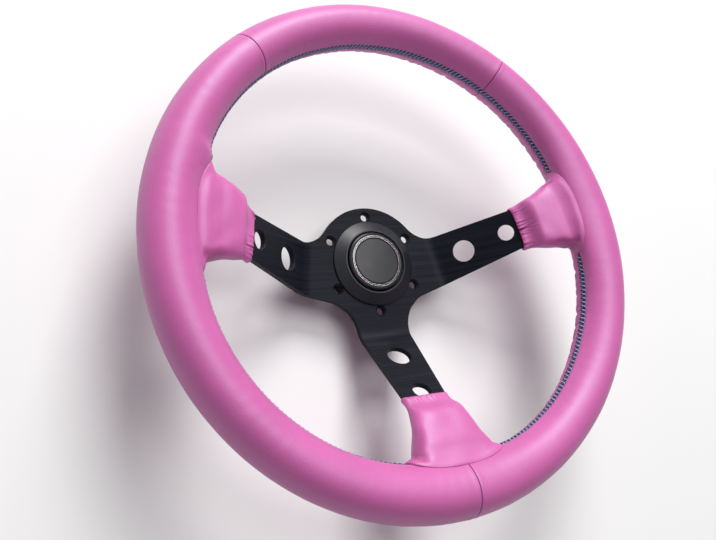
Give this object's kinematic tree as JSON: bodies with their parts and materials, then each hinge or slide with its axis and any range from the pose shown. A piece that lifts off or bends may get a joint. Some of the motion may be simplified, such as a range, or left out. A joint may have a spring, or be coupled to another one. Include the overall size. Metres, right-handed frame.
{
  "type": "car steering wheel",
  "caption": "Deep-dish car steering wheel with a dished spoke plate, a leather-covered rim with boots on the spokes, cross stitching and a low horn button that presses in.",
  "frame": {"origin": "centre of the bolt circle on the hub plate's back face, where the steering boss bolts on", "axes": "+Z along the steering axis towards the driver, +Y to twelve o'clock, +X to three o'clock"},
  "size_m": [0.3499, 0.3499, 0.097],
  "materials": {
    "anodised_plate": "black anodised, brushed across",
    "hoop_steel": "black painted steel",
    "rivet_steel": "plain",
    "moulded_foam": "moulded skin, matte",
    "rim_hide": "smooth satin, fine grain",
    "boot_hide": "smooth satin, fine grain",
    "thread": "twisted sewing thread",
    "bezel_black": "satin",
    "housing_black": "moulded, matte",
    "spring_steel": "bright",
    "cap_black": "satin",
    "ring_silver": "bright",
    "disc_black": "satin gloss",
    "contact_brass": "plain",
    "insulator": "fibre board"
  },
  "bodies": {
    "wheel": {"spoke_plate": "anodised_plate", "rim_hoop": "hoop_steel", "hoop_rivets": "rivet_steel", "rim_foam": "moulded_foam", "rim_leather_top": "rim_hide", "rim_leather_left": "rim_hide", "rim_leather_right": "rim_hide", "boot_left": "boot_hide", "boot_right": "boot_hide", "boot_bottom": "boot_hide", "stitching_top": "thread", "stitching_left": "thread", "stitching_right": "thread", "horn_bezel": "bezel_black", "horn_housing": "housing_black", "housing_clips": "spring_steel", "fixed_contact": "contact_brass", "contact_washer": "insulator", "spring_seat": "contact_brass", "horn_spring": "spring_steel", "terminal_live": "contact_brass", "terminal_earth": "contact_brass"},
    "horn_button": {"horn_cap": "cap_black", "cap_ring": "ring_silver", "cap_disc": "disc_black", "moving_contact": "contact_brass"}
  },
  "joints": [
    {"name": "horn_press", "type": "slide", "parent": "wheel", "child": "horn_button", "axis": [0, 0, -1], "range_m": [0, 0.0018], "stiffness_N_per_m": 2500, "springref_m": -0.003, "deforming": ["horn_spring"]}
  ]
}
